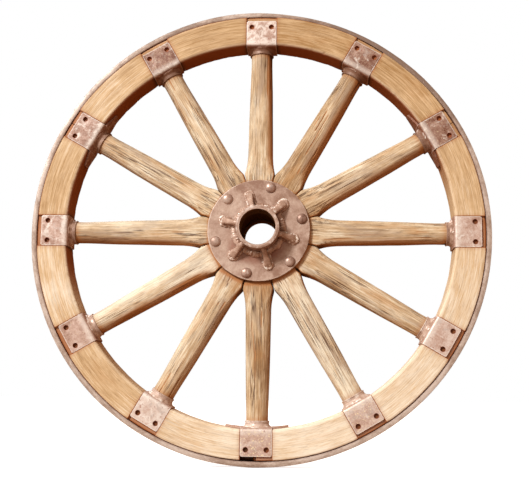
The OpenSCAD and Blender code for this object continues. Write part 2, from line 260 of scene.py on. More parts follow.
def bead(path, radius, lump, seed, cols=14):
    """A lumpy weld bead along a path, and how bright its crests are worn."""
    step = np.linalg.norm(np.diff(path, axis=0), axis=1).mean()
    rows = np.arange(len(path)) * step
    around = circle(cols)
    place = grid3(rows[:, None] / 4.2, 1.3 * np.cos(around)[None], 1.3 * np.sin(around)[None])
    rough = fbm(place + seed * 7.3, seed, 2)
    ripple = np.abs(np.sin(rows / 1.9 + 1.7 * noise3(grid3(rows / 9, seed, 0), seed)))[:, None]
    grown = radius * (1 + lump * (0.8 * rough + 0.35 * ripple - 0.15))
    wear = np.clip(0.35 + 1.1 * rough + 0.3 * (ripple - 0.5), 0, 1)
    return tube_along(path, grown, cols), wear


# --- materials
def colour(text):
    """A scene-linear colour from a hexadecimal sRGB one; a linear one is left as it is."""
    if not isinstance(text, str):
        return text
    parts = [int(text[i : i + 2], 16) / 255 for i in (0, 2, 4)]
    return [c / 12.92 if c <= 0.04045 else ((c + 0.055) / 1.055) ** 2.4 for c in parts] + [1.0]


class Wiring:
    """Makes and links the nodes of one tree."""

    def __init__(self, tree):
        self.tree = tree
        tree.nodes.clear()

    def node(self, kind, inputs=(), **settings):
        made = self.tree.nodes.new("ShaderNode" + kind)
        for key, value in settings.items():
            setattr(made, key, value)
        for socket, value in zip(made.inputs, inputs):
            self.put(socket, value)
        return made

    def put(self, socket, value):
        """Links a socket to another one, or sets its value."""
        if isinstance(value, bpy.types.NodeSocket):
            self.tree.links.new(value, socket)
        elif value is not None:
            socket.default_value = value

    def fill(self, made, **values):
        """Puts values in a node's sockets by name, with _ for a space."""
        for name, value in values.items():
            self.put(made.inputs[name.replace("_", " ")], value)
        return made

    def ramp(self, value, *stops):
        """Colours at places from 0 to 1."""
        made = self.node("ValToRGB", [value])
        ramp = made.color_ramp
        while len(ramp.elements) < len(stops):
            ramp.elements.new(0.5)
        for element, (at, shade) in zip(ramp.elements, stops):
            element.position, element.color = at, colour(shade)
        return made.outputs["Color"]


class Look(Wiring):
    """Wires one procedural material."""

    def __init__(self, name):
        self.material = bpy.data.materials.new(name)
        self.material.use_nodes = True
        super().__init__(self.material.node_tree)
        self.shader = self.node("BsdfPrincipled")
        self.node("OutputMaterial", [self.shader.outputs[0]])
        self.local, seed, mask = (
            self.node("Attribute", attribute_name=kept).outputs["Vector"]
            for kept in ("local", "seed", "mask")
        )
        self.place = self.vector("ADD", self.local, seed)
        self.wear, self.grime, self.tone = self.node("SeparateXYZ", [mask]).outputs

    def coat(self, base, roughness, height, strength=0.5, depth_mm=0.45, **values):
        """Finishes the shader. What is the same all over its surface is given as a plain value."""
        bump = self.node("Bump")
        self.fill(bump, Strength=strength, Distance=depth_mm * MM, Height=height)
        self.fill(self.shader, Base_Color=base, Roughness=roughness, Normal=bump.outputs["Normal"],
                  **values)
        return self.material

    def vector(self, operation, a, b):
        return self.node("VectorMath", [a, b], operation=operation).outputs[0]

    def math(self, operation, a, b=None, clamp=False):
        return self.node("Math", [a, b], operation=operation, use_clamp=clamp).outputs[0]

    def times(self, a, b, clamp=False):
        return self.math("MULTIPLY", a, b, clamp)

    def total(self, *terms):
        """The sum of values, each given with its weight."""
        result = None
        for value, weight in terms:
            part = value if weight == 1 else self.times(value, abs(weight))
            operation = "SUBTRACT" if weight < 0 else "ADD"
            result = part if result is None else self.math(operation, result, part)
        return result

    def noise(self, cells, detail=3.0, rough=0.55, bend=0.0):
        """Noise with so many cells a metre: one number, or one along, one radial and one across."""
        cells = cells if isinstance(cells, tuple) else (cells, cells, cells)
        place = self.vector("MULTIPLY", self.place, cells)
        made = self.node("TexNoise")
        self.fill(made, Vector=place, Scale=1.0, Detail=detail, Roughness=rough, Distortion=bend)
        return made.outputs["Fac"]

    def step(self, value, low, high, low_out=0.0, high_out=1.0):
        """A smooth step of a value from one level to another."""
        made = self.node("MapRange", interpolation_type="SMOOTHSTEP")
        self.fill(made, Value=value, From_Min=low, From_Max=high, To_Min=low_out, To_Max=high_out)
        return made.outputs["Result"]

    def step_mm(self, value, low, high, low_out=0.0, high_out=1.0):
        """The same, for a length that is stepped between two places in millimetres."""
        return self.step(value, low * MM, high * MM, low_out, high_out)

    def mix(self, share, a, b):
        made = self.node("Mix", data_type="RGBA", blend_type="MIX")
        for socket, value in ((made.inputs[0], share), (made.inputs[6], a), (made.inputs[7], b)):
            self.put(socket, colour(value))
        return made.outputs[2]


def wood(name, pale, middle, dark, grey, amber, rust_stain_and_shade, crack_and_shade, weather):
    """Oiled, weathered hardwood whose grain runs along the piece's own length.

    Beside the steel and in painted shade it turns to a rusty brown, and in the deepest painted shade to
    the colour of its cracks; weather: share of grey and amber patches and open checks."""
    k = Look(name)
    fibre = k.noise((21 - 11 * weather, 480, 480), 5, 0.7, 0.1)
    band = k.noise((3, 120, 120), 3, 0.55, 0.2)
    patch = k.noise((14, 30, 30), 5, 0.6, 0.7)
    tone = k.total((fibre, 0.6), (band, 0.13), (patch, 0.27), (k.tone, 0.1))
    spread = 0.21 - 0.09 * weather
    base = k.ramp(tone, (0.5 - spread, dark), (0.5, middle), (0.5 + spread, pale))
    hue = k.noise((8, 38, 38), 4, 0.6, 0.5)
    base = k.mix(k.step(hue, 0.5, 0.66, 0.0, 0.6 * weather), base, grey)
    base = k.mix(k.step(hue, 0.48, 0.34, 0.0, 0.5 * weather), base, amber)
    line = k.math("ABSOLUTE", k.math("SUBTRACT", k.noise((4, 280, 280), 2, 0.5, 0.05), 0.5))
    where = k.noise((10, 60, 60), 2, 0.5)
    check = k.times(k.step(line, 0.045, 0.012), k.step(where, 0.46, 0.58), clamp=True)
    check = k.times(check, k.step(k.wear, 0.6, 0.0, 0.0, weather))
    pore = k.step(k.noise((55, 800, 800), 2, 0.5), 0.42, 0.32)
    pore = k.times(pore, 0.22 + 0.2 * weather)
    base = k.mix(k.math("MAXIMUM", check, pore), base, crack_and_shade)
    # soiling and painted shade: first toward the brown beside the steel, then toward the colour of the
    # cracks
    base = k.mix(k.step(k.grime, 0.0, 0.6), base, rust_stain_and_shade)
    base = k.mix(k.step(k.grime, 0.6, 1.0), base, crack_and_shade)
    # rubbed places and painted highlight toward the pale colour
    base = k.mix(k.times(k.wear, 0.55), base, pale)
    height = k.total((fibre, 0.6), (check, -1.2), (pore, -0.5))
    return k.coat(base, k.step(tone, 0.3, 0.7, 0.72, 0.52), height, 0.55, 0.5, Specular_IOR_Level=0.3)


def steel(name, pale, middle, dark, worn, rust_and_shade, wear_share, pit_share, rough, scale=1.0,
          metal=0.12, gloss=0.5):
    """Rust-browned steel with mottling, pits and bright worn edges."""
    k = Look(name)
    cloud = k.noise(26 * scale, 5, 0.6, 0.5)
    fine = k.noise(320, 4, 0.65)
    level = k.total((cloud, 0.72), (fine, 0.28), (k.tone, 0.2))
    base = k.ramp(level, (0.36, dark), (0.5, middle), (0.66, pale))
    # rubbed places, and on the bolt domes a painted highlight, toward the worn colour
    rub = k.total((k.noise(75 * scale, 4, 0.6, 0.4), 1), (k.wear, 0.42), (k.tone, 0.16))
    bright = k.step(rub, 0.74, 0.92, 0.0, wear_share)
    base = k.mix(bright, base, worn)
    pit = k.step(k.total((k.noise(210, 3, 0.6), 1), (cloud, -0.2)), 0.51, 0.58, 0.0, pit_share)
    base = k.mix(pit, base, rust_and_shade)
    # soiling and painted shade toward the rusty colour, and the deepest, inside the tubes, toward the
    # painted-shade brown
    base = k.mix(k.times(k.grime, 0.9), base, rust_and_shade)
    base = k.mix(k.step(k.grime, 0.85, 1.0), base, DEEPEST_SHADE)
    height = k.total((fine, 0.5), (pit, -0.6), (cloud, 0.5))
    roughness = k.total((k.step(level, 0.3, 0.7, rough + 0.1, rough - 0.08), 1), (bright, -0.12),
                        (k.step(k.grime, 0.85, 1.0, 0.0, 0.4), 1))
    return k.coat(base, roughness, height, Metallic=metal,
                  Specular_IOR_Level=k.step(k.grime, 0.85, 1.0, gloss, 0.04))


def saddle_steel():
    """Browned plate with a painted highlight along its bend. Its mask values are the share of pale scale,
    the share of cream specks, and lightness.
    """
    k = Look("saddle_steel")
    x, _, z = k.node("SeparateXYZ", [k.local]).outputs
    away = k.math("ABSOLUTE", z)
    cloud = k.noise(38, 5, 0.6, 0.6)
    fine = k.noise(330, 4, 0.65)
    level = k.total((cloud, 0.6), (fine, 0.4), (k.tone, 0.12))
    base = k.ramp(level, (0.2, "6E3E28"), (0.36, "A07C6A"), (0.5, "C2A292"), (0.64, "DAC6BA"))
    side = k.times(k.step_mm(away, SADDLE_HALF - 2.6, SADDLE_HALF - 0.2),
                   k.step_mm(away, SADDLE_HALF + 0.6, SADDLE_HALF + 0.1))
    end = k.step_mm(x, LEG_END - 2.8, LEG_END - 0.2)
    # painted highlight: a pale band across the bend, which also pales its edge
    bend = k.times(k.step_mm(x, SEAT_X + 19.5, SEAT_X + 8.5, 0.0, 0.9),
                   k.step_mm(x, SEAT_X + 0.5, SEAT_X + 4.5))
    edge = k.math("MAXIMUM", k.math("MAXIMUM", side, end), bend)
    rub = k.total((k.noise(64, 5, 0.62, 0.7), 1), (edge, 0.12), (k.wear, 0.2))
    bright = k.step(rub, 0.56, 0.76, 0.0, 0.68)
    bright = k.math("MAXIMUM", bright, k.times(edge, 0.45))
    base = k.mix(bright, base, "F1E8DE")
    grey = k.step(k.noise(46, 3, 0.6, 0.4), 0.58, 0.7, 0.0, 0.45)
    base = k.mix(grey, base, "B4A69E")
    speck = k.step(k.noise(300, 3, 0.6), 0.58, 0.66)
    base = k.mix(k.times(speck, k.grime), base, "F0DCB2")
    pit = k.step(k.total((k.noise(215, 3, 0.6), 1), (k.wear, 0.05)), 0.64, 0.7, 0.0, 0.7)
    base = k.mix(pit, base, "8C4A30")
    inner_face = k.step_mm(x, SEAT_X + 5.5, SEAT_X + 1.5, 0.0, 0.45)
    base = k.mix(inner_face, base, "9A6248")
    from_hole = k.node("CombineXYZ", [k.math("SUBTRACT", x, HOLE_X * MM), 0.0,
                                      k.math("SUBTRACT", away, HOLE_Z * MM)]).outputs[0]
    reach = k.node("VectorMath", [from_hole], operation="LENGTH").outputs["Value"]
    base = k.mix(k.step_mm(reach, HOLE_R + 1.4, HOLE_R, 0.0, 0.9), base, "8E4628")
    height = k.total((fine, 0.5), (pit, -0.6), (cloud, 0.5), (bright, 0.3))
    return k.coat(base, k.step(level, 0.3, 0.7, 0.54, 0.38), height, Metallic=0.12)


def tyre_steel():
    """Road-worn hoop. Its mask values are rubbed places, rusty soiling by the wood, and lightness, which
    on the running face also carries painted shade.
    """
    k = Look("tyre_steel")
    cloud = k.noise((16, 40, 40), 5, 0.6, 0.5)
    fine = k.noise((160, 380, 380), 4, 0.65)
    level = k.total((cloud, 0.6), (fine, 0.4), (k.tone, 0.14))
    base = k.ramp(level, (0.34, "7E6454"), (0.5, "A68E7E"), (0.66, "CDBBAE"))
    speck = k.total((k.noise((170, 460, 460), 3, 0.65), 1), (k.wear, 0.16))
    base = k.mix(k.step(speck, 0.6, 0.8, 0.0, 0.4), base, "E4D8CE")
    pit = k.step(k.noise((120, 230, 230), 3, 0.6), 0.6, 0.68, 0.0, 0.35)
    base = k.mix(pit, base, "85604E")
    base = k.mix(k.times(k.grime, 0.85), base, "6E422E")
    height = k.total((fine, 0.6), (pit, -0.7), (cloud, 0.4))
    return k.coat(base, k.step(level, 0.3, 0.7, 0.6, 0.44), height, Metallic=0.12)


DEEPEST_SHADE = "6A4424"  # painted shade: the brown dark inside the tubes
WOODS = {  # pale, middle, dark, grey, amber, beside the steel and in painted shade, cracks and deepest painted shade; share of weathering
    "felloe_wood": ("F2E4CE", "D5B48A", "A47C4C", "C0A284", "C88C50", "9A5428", "56300F", 0.2),
    "spoke_wood": ("F0E4CC", "CEB28E", "9A7650", "A48E7C", "BC8850", "AE7240", "4C2A12", 0.85),
    "dowel_wood": ("DCC09A", "C2A07A", "9A7450", "8A6E58", "B07840", "A87050", "472814", 0.3),
}
STEELS = {  # pale, middle, dark, worn, rusty colour (also used for painted shade); shares of rubbed places and pits, roughness, scale, metal, gloss
    "ferrule_steel": ("CCB0A0", "A88774", "7C5844", "F0E4D8", "5E3422", 0.75, 0.35, 0.44),
    "weld_metal": ("DCC2B2", "BA9884", "8A6450", "F6EADE", "74432C", 0.8, 0.3, 0.4, 1.8),
    "hub_steel": ("CDB4A2", "B0917F", "906C58", "EADACE", "84492E", 0.6, 0.25, 0.44),
    "bush_iron": ("A07450", "7C5636", "54381F", "BCA090", "3A2412", 1.0, 0.3, 0.8, 1.0, 0.0, 0.12),
    "fastener_steel": ("CDB5A6", "A88675", "6E4A3A", "F0E2DA", "5A301C", 0.85, 0.12, 0.4, 1.0, 0.35),
}
LOOKS = {name: wood(name, *values) for name, values in WOODS.items()}
LOOKS.update({name: steel(name, *values) for name, values in STEELS.items()})
LOOKS.update(tyre_steel=tyre_steel(), saddle_steel=saddle_steel())


# --- places round the wheel
def angle_gap(a, b):
    """Degrees from angle b to angle a, from -180 to 180."""
    return (a - b + 180) % 360 - 180


def bell(degrees, centre, width):
    """1 at an angle, falling away over a width of degrees on either side."""
    return np.exp(-((angle_gap(degrees, centre) / width) ** 2))


def level_at(table, degrees):
    """A table's level at an angle, between the two entries beside it."""
    at, level = np.array(table).T
    return np.interp(np.asarray(degrees) % 360, at, level)


# --- tyre
TYRE_FADE = (  # degrees, and how pale the hoop is there
    (0, 0.4), (15, 0.7), (32, -0.7), (45, -1.4), (68, -1.3), (92, 0.5), (115, -0.5), (140, 0.9),
    (158, 0.8), (180, 0.2), (225, 0.3), (258, 0.5), (270, 0.0), (285, 0.7), (300, 0.2), (315, 0.9),
    (330, 0.3), (360, 0.4),
)
SEAM_AT, PEAK_AT, DRAWN_IN_AT = 172.0, 269.0, 51.0  # degrees


def build_tyre():
    """The flat hoop: hammered faces, a forged seam on the left, a dull peak below, and its upper
    right drawn in."""
    angle = np.linspace(0, 360, 1080, endpoint=False)
    loop = box_loop(FELLOE_OUT, TYRE_R, TYRE_HALF, 1.6, 2.2, 48)
    a = np.radians(angle)[:, None]
    radial, axial = loop[None, :, 0], loop[None, :, 1]
    along = grid3(np.cos(a) * TYRE_R, axial, np.sin(a) * TYRE_R)
    wave = fbm(along / 70, 11, 2)
    dent = fbm(along / 14, 12, 3)
    outer = smooth(FELLOE_OUT + 3, TYRE_R - 2, radial)
    edge = smooth(TYRE_HALF - 6, TYRE_HALF - 1, np.abs(axial))
    seam = bell(angle, SEAM_AT, 0.55)[:, None]
    peak = bell(angle, PEAK_AT, 2.2)[:, None]
    flat = smooth(4, 58, angle)[:, None] * smooth(102, 78, angle)[:, None]
    shift = outer * (-0.7 + 0.25 * wave + 0.15 * dent * edge + 0.5 * peak
                     - 0.6 * seam * (dent > 0) - 3.2 * flat)
    shift = np.minimum(shift, -0.05 * outer)
    face = edge * (0.35 * dent - 0.55 * np.maximum(0, dent - 0.45) * 2 - 0.4)
    lip = 3.2 * (1 - outer) * edge * bell(angle, DRAWN_IN_AT, 12)[:, None]
    points = spun(radial + shift - lip, axial + np.sign(axial) * np.minimum(face, 0), a)
    wear = np.clip(0.1 + 0.5 * dent + 0.25 * outer * edge + 0.5 * seam, 0, 1) * (1 - 0.7 * flat)
    grime = smooth(FELLOE_OUT + 2.5, FELLOE_OUT, radial) * 0.8 * (1 - 0.8 * flat)
    # painted shade: the running face is painted darker and rubbed less, to hold down the lamp's light on
    # it
    tread_shade = outer * (1 - edge)
    tone = level_at(TYRE_FADE, angle)[:, None] + 0.3 * wave - 1.2 * tread_shade
    build_grid("tyre_hoop", "tyre", "tyre_steel", 50, 3, points, grid3(a * TYRE_R, radial, axial),
               ring=True, wear=wear * (1 - 0.8 * tread_shade), grime=grime, tone=tone)


# --- felloes
SEAT_IN = SEAT_X + PLATE_T + 0.2
SEAT_HALF_Y = FELLOE_HALF - PLATE_T - 0.2
LOOP = 88  # points round a felloe's section
RIM_GAPS = ((155, 4, 0.7), (35, 6, 1.0), (266, 9, 1.3), (DRAWN_IN_AT, 11, 2.8))  # at, width, more gap
WOOD_FADE = (  # degrees, and how pale the wood has faded there
    (0, 0.0), (30, -0.9), (60, -1.2), (90, -1.1), (115, -0.7), (140, 0.1), (165, -0.7),
    (180, -0.1), (198, 0.9), (212, -0.3), (228, -0.5), (245, 0.6), (260, 0.9), (285, 1.7),
    (315, 1.1), (340, 0.8), (360, 0.0),
)


def rim_gap(degrees):
    """How far the wood's front edge has drawn back from the tyre at an angle, in millimetres."""
    deg = np.asarray(degrees, float)
    gap = 1.2 + 0.6 * noise3(grid3(deg / 9, 0.5, 0.5), 21)
    gap = gap + 0.25 * noise3(grid3(deg / 1.7, 2.5, 0.5), 22)
    for centre, width, more in RIM_GAPS:
        gap = gap + more * bell(deg, centre, width)
    return np.maximum(gap, 0.5)


def drawn_back(r, y, deg, low, high):
    """Radii of the wood with its outer edge drawn back, from y = low and in full from y = high."""
    outer = smooth(FELLOE_OUT - 6, FELLOE_OUT - 0.4, r)
    return r - outer * smooth(low, high, np.abs(y)) * rim_gap(deg)


def full_row(section, angles, seed, inset=0.0):
    """One row of a felloe's full section, with its worn arris and its drawn-back outer edge."""
    r, y = section[:, 0].copy(), section[:, 1].copy()
    deg = np.degrees(angles)
    place = grid3(np.cos(angles) * RIM_MID, y, np.sin(angles) * RIM_MID)
    chop = fbm(place / 22 + grid3(0, 0, r / 40), seed, 3)
    front = smooth(FELLOE_HALF - 8, FELLOE_HALF - 0.5, np.abs(y))
    inner = smooth(FELLOE_IN + 12, FELLOE_IN + 1, r)
    y = y - np.sign(y) * front * (0.35 + 0.35 * chop + inset)
    chipped = 1 + 0.9 * smooth(15, 35, deg % 360) * smooth(90, 70, deg % 360)
    nick = np.maximum(0, fbm(place / 8, seed + 3, 2) - 0.15) * 3.0
    r = r + inner * (0.45 + 0.55 * chop)
    r = r + inner * front * chipped * (0.5 + 0.9 * np.maximum(0, chop) + nick)
    r = r + inner * inset
    return drawn_back(r, y, deg, FELLOE_HALF - 12, FELLOE_HALF - 2), y


def seat_row(section, z, deg, deep):
    """One row inside a saddle's seat, on the plane z from the saddle's middle."""
    r, y = section[:, 0].copy(), section[:, 1].copy()
    r = drawn_back(r, y, deg, SEAT_HALF_Y - 10, SEAT_HALF_Y - 2)
    if deep:
        chipped = smooth(LEG_END - 6, LEG_END - 5, r) * (y < 0)
        y = y + chipped * 17 * smooth(0, -SEAT_HALF_Y, y)
    limit = np.sqrt(FELLOE_OUT**2 - z * z)
    share = (r - SEAT_IN) / (FELLOE_OUT - SEAT_IN)
    return SEAT_IN + share * (limit - SEAT_IN), y


def number_at(degrees):
    """The number of the spoke that stands at this many degrees."""
    return int(round(degrees / PITCH)) % 12 + 1


def build_felloe(index):
    """A bent felloe from one joint to the next, let in for five saddles."""
    start = JOINTS[index]
    seed = 40 + index * 5
    edge = SADDLE_HALF + 0.3
    rows, local, grime = [], [], []
    full = box_loop(FELLOE_IN, FELLOE_OUT, FELLOE_HALF, 5.0, 1.0, LOOP)
    seat = box_loop(SEAT_IN, FELLOE_OUT, SEAT_HALF_Y, 3.0, 0.6, LOOP)

    def put(points, section, along, dirt_and_shade):
        rows.append(points)
        local.append(grid3(along, section[:, 0], section[:, 1]))
        grime.append(np.broadcast_to(dirt_and_shade, (LOOP,)))

    def put_seat(place, z):
        centre = start + place * PITCH
        deep = index == 1 and place == 4 and z < -2
        x, y = seat_row(seat, z, centre + math.degrees(z / RIM_MID), deep)
        points = turned(grid3(x, y, z), centre)
        # painted shade: the seat is a little darker in a band at the holes' radius, seen through the
        # saddle's holes, standing in for holes this felloe lacks
        in_hole = smooth(9, 7, np.abs(seat[:, 0] - HOLE_X))
        end_dirt = 0.2 if 2 <= number_at(centre) <= 5 else 0.4
        shade = end_dirt + 0.3 * smooth(LEG_END + 2.5, LEG_END, seat[:, 0]) + 0.12 * in_hole
        # painted shade: the rows of the deep chip get the darkest wood
        put(points, seat, math.radians(centre) * RIM_MID + z, np.where(deep, 1.0, shade))

    def put_full(place, t, inset=0.0):
        """t from 0 to 1 runs between the seats at place and at the next spoke."""
        turn = np.arcsin(edge / full[:, 0])
        base = math.radians(start + place * PITCH)
        angles = base + turn + t * (math.radians(PITCH) - 2 * turn)
        r, y = full_row(full, angles, seed, inset)
        near = min(t, 1 - t) * 160
        dirt_and_shade = 0.6 * smooth(1.6, 0.0, near) + 0.2 * smooth(12, 1, near)
        points = spun(r, y, angles)
        put(points, np.stack([r, y], -1), angles * RIM_MID, dirt_and_shade)

    between = np.concatenate([[0.0, 0.006], np.linspace(0.013, 0.987, 86), [0.994, 1.0]])
    for place in range(5):
        low = 0.8 if place == 0 else -edge
        high = -0.8 if place == 4 else edge
        for z in np.linspace(low, high, 5 if place in (0, 4) else 9):
            put_seat(place, z)
        if place < 4:
            for t in between:
                put_full(place, t, inset=0.5 * smooth(0.008, 0.0, min(t, 1 - t)))
    points = np.array(rows)
    arris = smooth(FELLOE_IN + 9, FELLOE_IN + 2, np.array(local)[..., 1])
    front = smooth(FELLOE_HALF - 7, FELLOE_HALF - 1, np.abs(points[..., 1]))
    reach = np.hypot(points[..., 0], points[..., 2])
    around = np.arctan2(points[..., 2], points[..., 0])
    rim = smooth(FELLOE_OUT - 2.5, FELLOE_OUT + 0.2, reach + 1.2)
    inner_face = smooth(FELLOE_IN + 3.5, FELLOE_IN + 1, reach)
    # painted shade: the inner faces that look away from the light, on the upper and left parts of the
    # rim, are painted darker
    away_from_light = np.maximum(np.sin(around), 0.8 * np.sin(around) - 0.6 * np.cos(around))
    grime = np.array(grime) + 0.4 * rim + 0.68 * inner_face * smooth(0.1, 0.6, away_from_light)
    tone = level_at(WOOD_FADE, np.degrees(around))
    node = f"felloe_{index + 1}"
    build_grid(f"{node}_wood", node, "felloe_wood", 38, seed, points, np.array(local),
               wear=arris * front * 0.5, grime=np.clip(grime, 0, 1), tone=tone)


# --- spokes
SPOKE_STATIONS = np.array([  # radius, width, thickness, squareness
    (FOOT_R, 25.2, FOOT_T, 14), (107, 57.0, FOOT_T, 14), (117, 62.2, FOOT_T, 12),
    (FOOT_END, 63.8, 52.8, 10), (126, 62.4, 52.2, 8), (132, 59.8, 51.8, 6.4), (140, 56.8, 51.2, 5.0),
    (150, 54.4, 50.6, 4.2), (162, 53.0, 50.0, 3.6), (191, 52.4, 49.4, 3.2), (250, 51.0, 48.4, 2.8),
    (300, 49.3, 47.2, 2.4), (TIP_FROM, TIP_D, TIP_D, 2.0), (TIP_END, TIP_D, TIP_D, 2.0),
])
SPOKE_COLS = 144
FLATS = 11  # round a spoke's section
SPOKE_FADE = (  # each spoke's lightness, and how smooth its lit side is and how much paler that side is painted, as painted highlight
    (0.0, 0.15), (-0.2, 0.1), (-0.7, 0.0), (0.1, 0.4), (-0.3, 0.15), (0.2, 0.4), (0.2, 0.45),
    (0.8, 0.75), (0.1, 0.3), (-0.3, 0.1), (0.8, 0.3), (0.1, 0.35),
)
# by spoke: how strong the painted shade on its side away from the light is, if not 1; how open and dark
# its checks are, if not 1; and how much its foot is darkened, as rusty stains with the flange's painted
# shadow, if at all
SIDE_SHADE = {1: 1.25, 2: 0.6, 3: 0.85, 4: 1.5, 7: 1.25, 9: 0.4, 10: 0.3}
CRACKED = {3: 2.2, 6: 0.6, 7: 1.3, 9: 1.3, 11: 0.2, 12: 0.6}
FOOT_SHADOW_AND_RUST = {8: 0.25, 9: 0.5, 10: 0.6, 11: 0.45, 12: 0.3, 1: 0.15, 7: 0.1, 6: 0.1}


def place_of(number):
    """Degrees round the wheel at which a spoke and its saddle stand."""
    return (number - 1) * PITCH


def spoke_faceting(y, z, r, number, rng):
    """Flats that a shave leaves along a round spoke: the section is cut back to each in turn."""
    fade = smooth(118, 190, r) * (0.25 + 0.75 * smooth(398, 340, r))
    for k in range(FLATS):
        a = 2 * np.pi * (k + 0.6 * (rng[k, 0] - 0.5)) / FLATS
        ny, nz = math.cos(a), math.sin(a)
        reach = np.max(y * ny + z * nz)
        sway = float(noise3(np.array([r / 90, k * 3.1, number * 1.7]), 61))
        cut = fade * max(0.0, 0.1 + 0.6 * rng[k, 1] + 0.35 * sway)
        over = np.maximum(0, y * ny + z * nz - (reach - cut))
        y, z = y - over * ny * 0.9, z - over * nz * 0.9
    return y, z


def spoke_checks(number):
    """Open checks along one spoke: (place round it from 0 to 1, start, end, depth, half width)."""
    v = np.array([[cell_value(number, k, j, 71) for j in range(5)] for k in range(20)])
    start = 128 + v[:, 1] * 230
    end = start + 18 + 95 * v[:, 2] ** 2
    return np.stack([v[:, 0], start, end, 0.4 + 0.7 * v[:, 3], 0.5 + 0.4 * v[:, 4]], -1)


def spoke_split(checks, r):
    share = np.arange(SPOKE_COLS) / SPOKE_COLS
    split = np.zeros(SPOKE_COLS)
    for at, r0, r1, deep, half in checks:
        if r0 < r < r1:
            drift = 0.008 * math.sin(r / 47 + at * 20) + 0.001 * math.sin(r / 11 + at * 50)
            away = (share - at - drift + 0.5) % 1 - 0.5
            ends = smooth(r0, r0 + 9, r) * smooth(r1, r1 - 14, r)
            split = np.maximum(split, ends * deep * np.exp(-((away * 160 / half) ** 2)))
    return split


def spoke_collar(number, r, sweep):
    """Darkening on a spoke where it enters its ferrule and round its foot; on some feet, most on those
    under the hub, it is rusty stains with the flange's painted shadow.
    """
    collar = 0.3 * smooth(372, 388, r) + 0.3 * smooth(111, 106, r)
    foot = 0.6 * smooth(150, 112, r) * (0.5 + 0.5 * sweep) + 0.7 * smooth(118, 110, r)
    return collar + FOOT_SHADOW_AND_RUST.get(number, 0.0) * foot


def spoke_painted_shade(number, r, flank, away_from_light, body, sweep):
    """Painted shade: brown down the side of a spoke that faces away from the light, and on the flanks
    where two feet meet.
    """
    painted_shade = smooth(0.2, 0.85, away_from_light) * body * np.clip(0.6 + 0.3 * sweep, 0.25, 0.72)
    painted_shade = painted_shade * float(0.35 + 0.65 * smooth(118, 165, r)) * SIDE_SHADE.get(number, 1.0)
    flank = flank * (away_from_light > 0.1)
    return np.maximum(painted_shade, 0.8 * flank * smooth(104, 112, r) * smooth(175, 130, r))


def build_spoke(number):
    """A split-oak spoke: mitred foot, shaved body and round tip, with open checks along its grain."""
    degrees = place_of(number)
    radii = np.concatenate([np.arange(FOOT_R, 104, 8), np.arange(104, 150, 1.6),
                            np.arange(150, TIP_END, 2.1), [TIP_END]])
    rng = np.array([[cell_value(number, k, j, 81) for j in range(2)] for k in range(FLATS)])
    checks = spoke_checks(number)
    points, local, dark, tone, painted_lit_pale = [], [], [], [], []
    lightness, paling = SPOKE_FADE[number - 1]
    for r in radii:
        w, t, n = (np.interp(r, SPOKE_STATIONS[:, 0], SPOKE_STATIONS[:, c]) for c in (1, 2, 3))
        if r < FOOT_END - 4:
            w = 2 * r * math.tan(math.radians(PITCH / 2)) - 0.5
        loop = squircle(t, w, n, SPOKE_COLS)
        y, z = spoke_faceting(loop[:, 0], loop[:, 1], r, number, rng)
        out = np.stack([y, z], -1) / np.maximum(1e-6, np.hypot(y, z))[:, None]
        ridge = fbm(grid3(r / 55, y / 2.6, z / 2.6) + number * 5.1, 91, 3)
        sweep = fbm(grid3(r / 70, y / 30, z / 30) + number * 3.7, 92, 2)
        body = smooth(100, 135, r) * smooth(400, 385, r)
        depth = body * (0.12 + 0.22 * ridge + 0.25 * (0.4 + sweep))
        split = spoke_split(checks, r) * (1 - 0.5 * paling) * CRACKED.get(number, 1.0)
        push = np.maximum(0, depth) + split
        y, z = y - out[:, 0] * push, z - out[:, 1] * push
        lean = DISH * np.clip((TIP_FROM - r) / (TIP_FROM - FOOT_END), 0, 1)
        points.append(grid3(r, y - lean, z))
        local.append(grid3(r, y, z))
        facing = turned(grid3(0, out[:, 0], out[:, 1]), degrees)
        # how far each point faces away from the light, down and to the right, where painted shade goes
        away_from_light = facing[:, 0] * 0.75 - facing[:, 2] * 0.66
        flank = smooth(w / 2 - 4.5, w / 2 - 1.5, np.abs(z))
        grime = 0.7 * split + 0.12 * np.maximum(0, ridge) * body + spoke_collar(number, r, sweep)
        dark.append(np.clip(grime + spoke_painted_shade(number, r, flank, away_from_light, body, sweep), 0, 1))
        tone.append(0.8 * sweep - 0.25 * ridge + lightness)
        # painted highlight: the side that faces the light, up and to the left, is painted paler
        lit = smooth(-0.2, 0.8, facing[:, 2] * 0.7 - facing[:, 0] * 0.7)
        painted_lit_pale.append(paling * lit * body * (0.8 + 0.3 * sweep))
    node = f"spoke_{number:02d}"
    build_grid(f"{node}_wood", node, "spoke_wood", 55, 100 + number, turned(np.array(points), degrees),
               np.array(local), grime=np.array(dark), tone=np.array(tone), wear=np.clip(painted_lit_pale, 0, 1))


# --- saddles and ferrules
SADDLE_WEAR = {  # (pale scale, cream specks, lightness)
    1: (0.2, 0.1, 0.2), 2: (0.2, 0.3, -1.6), 3: (0.1, 0.3, -1.5), 4: (0.75, 0.0, -0.1),
    5: (0.1, 0.4, -1.9), 6: (0.4, 0.0, -1.2), 7: (0.35, 0.0, -0.7), 8: (0.0, 0.2, -0.5),
    9: (0.5, 0.2, 0.9), 10: (0.0, 0.9, 0.1), 11: (0.0, 1.0, 0.35), 12: (0.1, 0.0, 0.3),
}


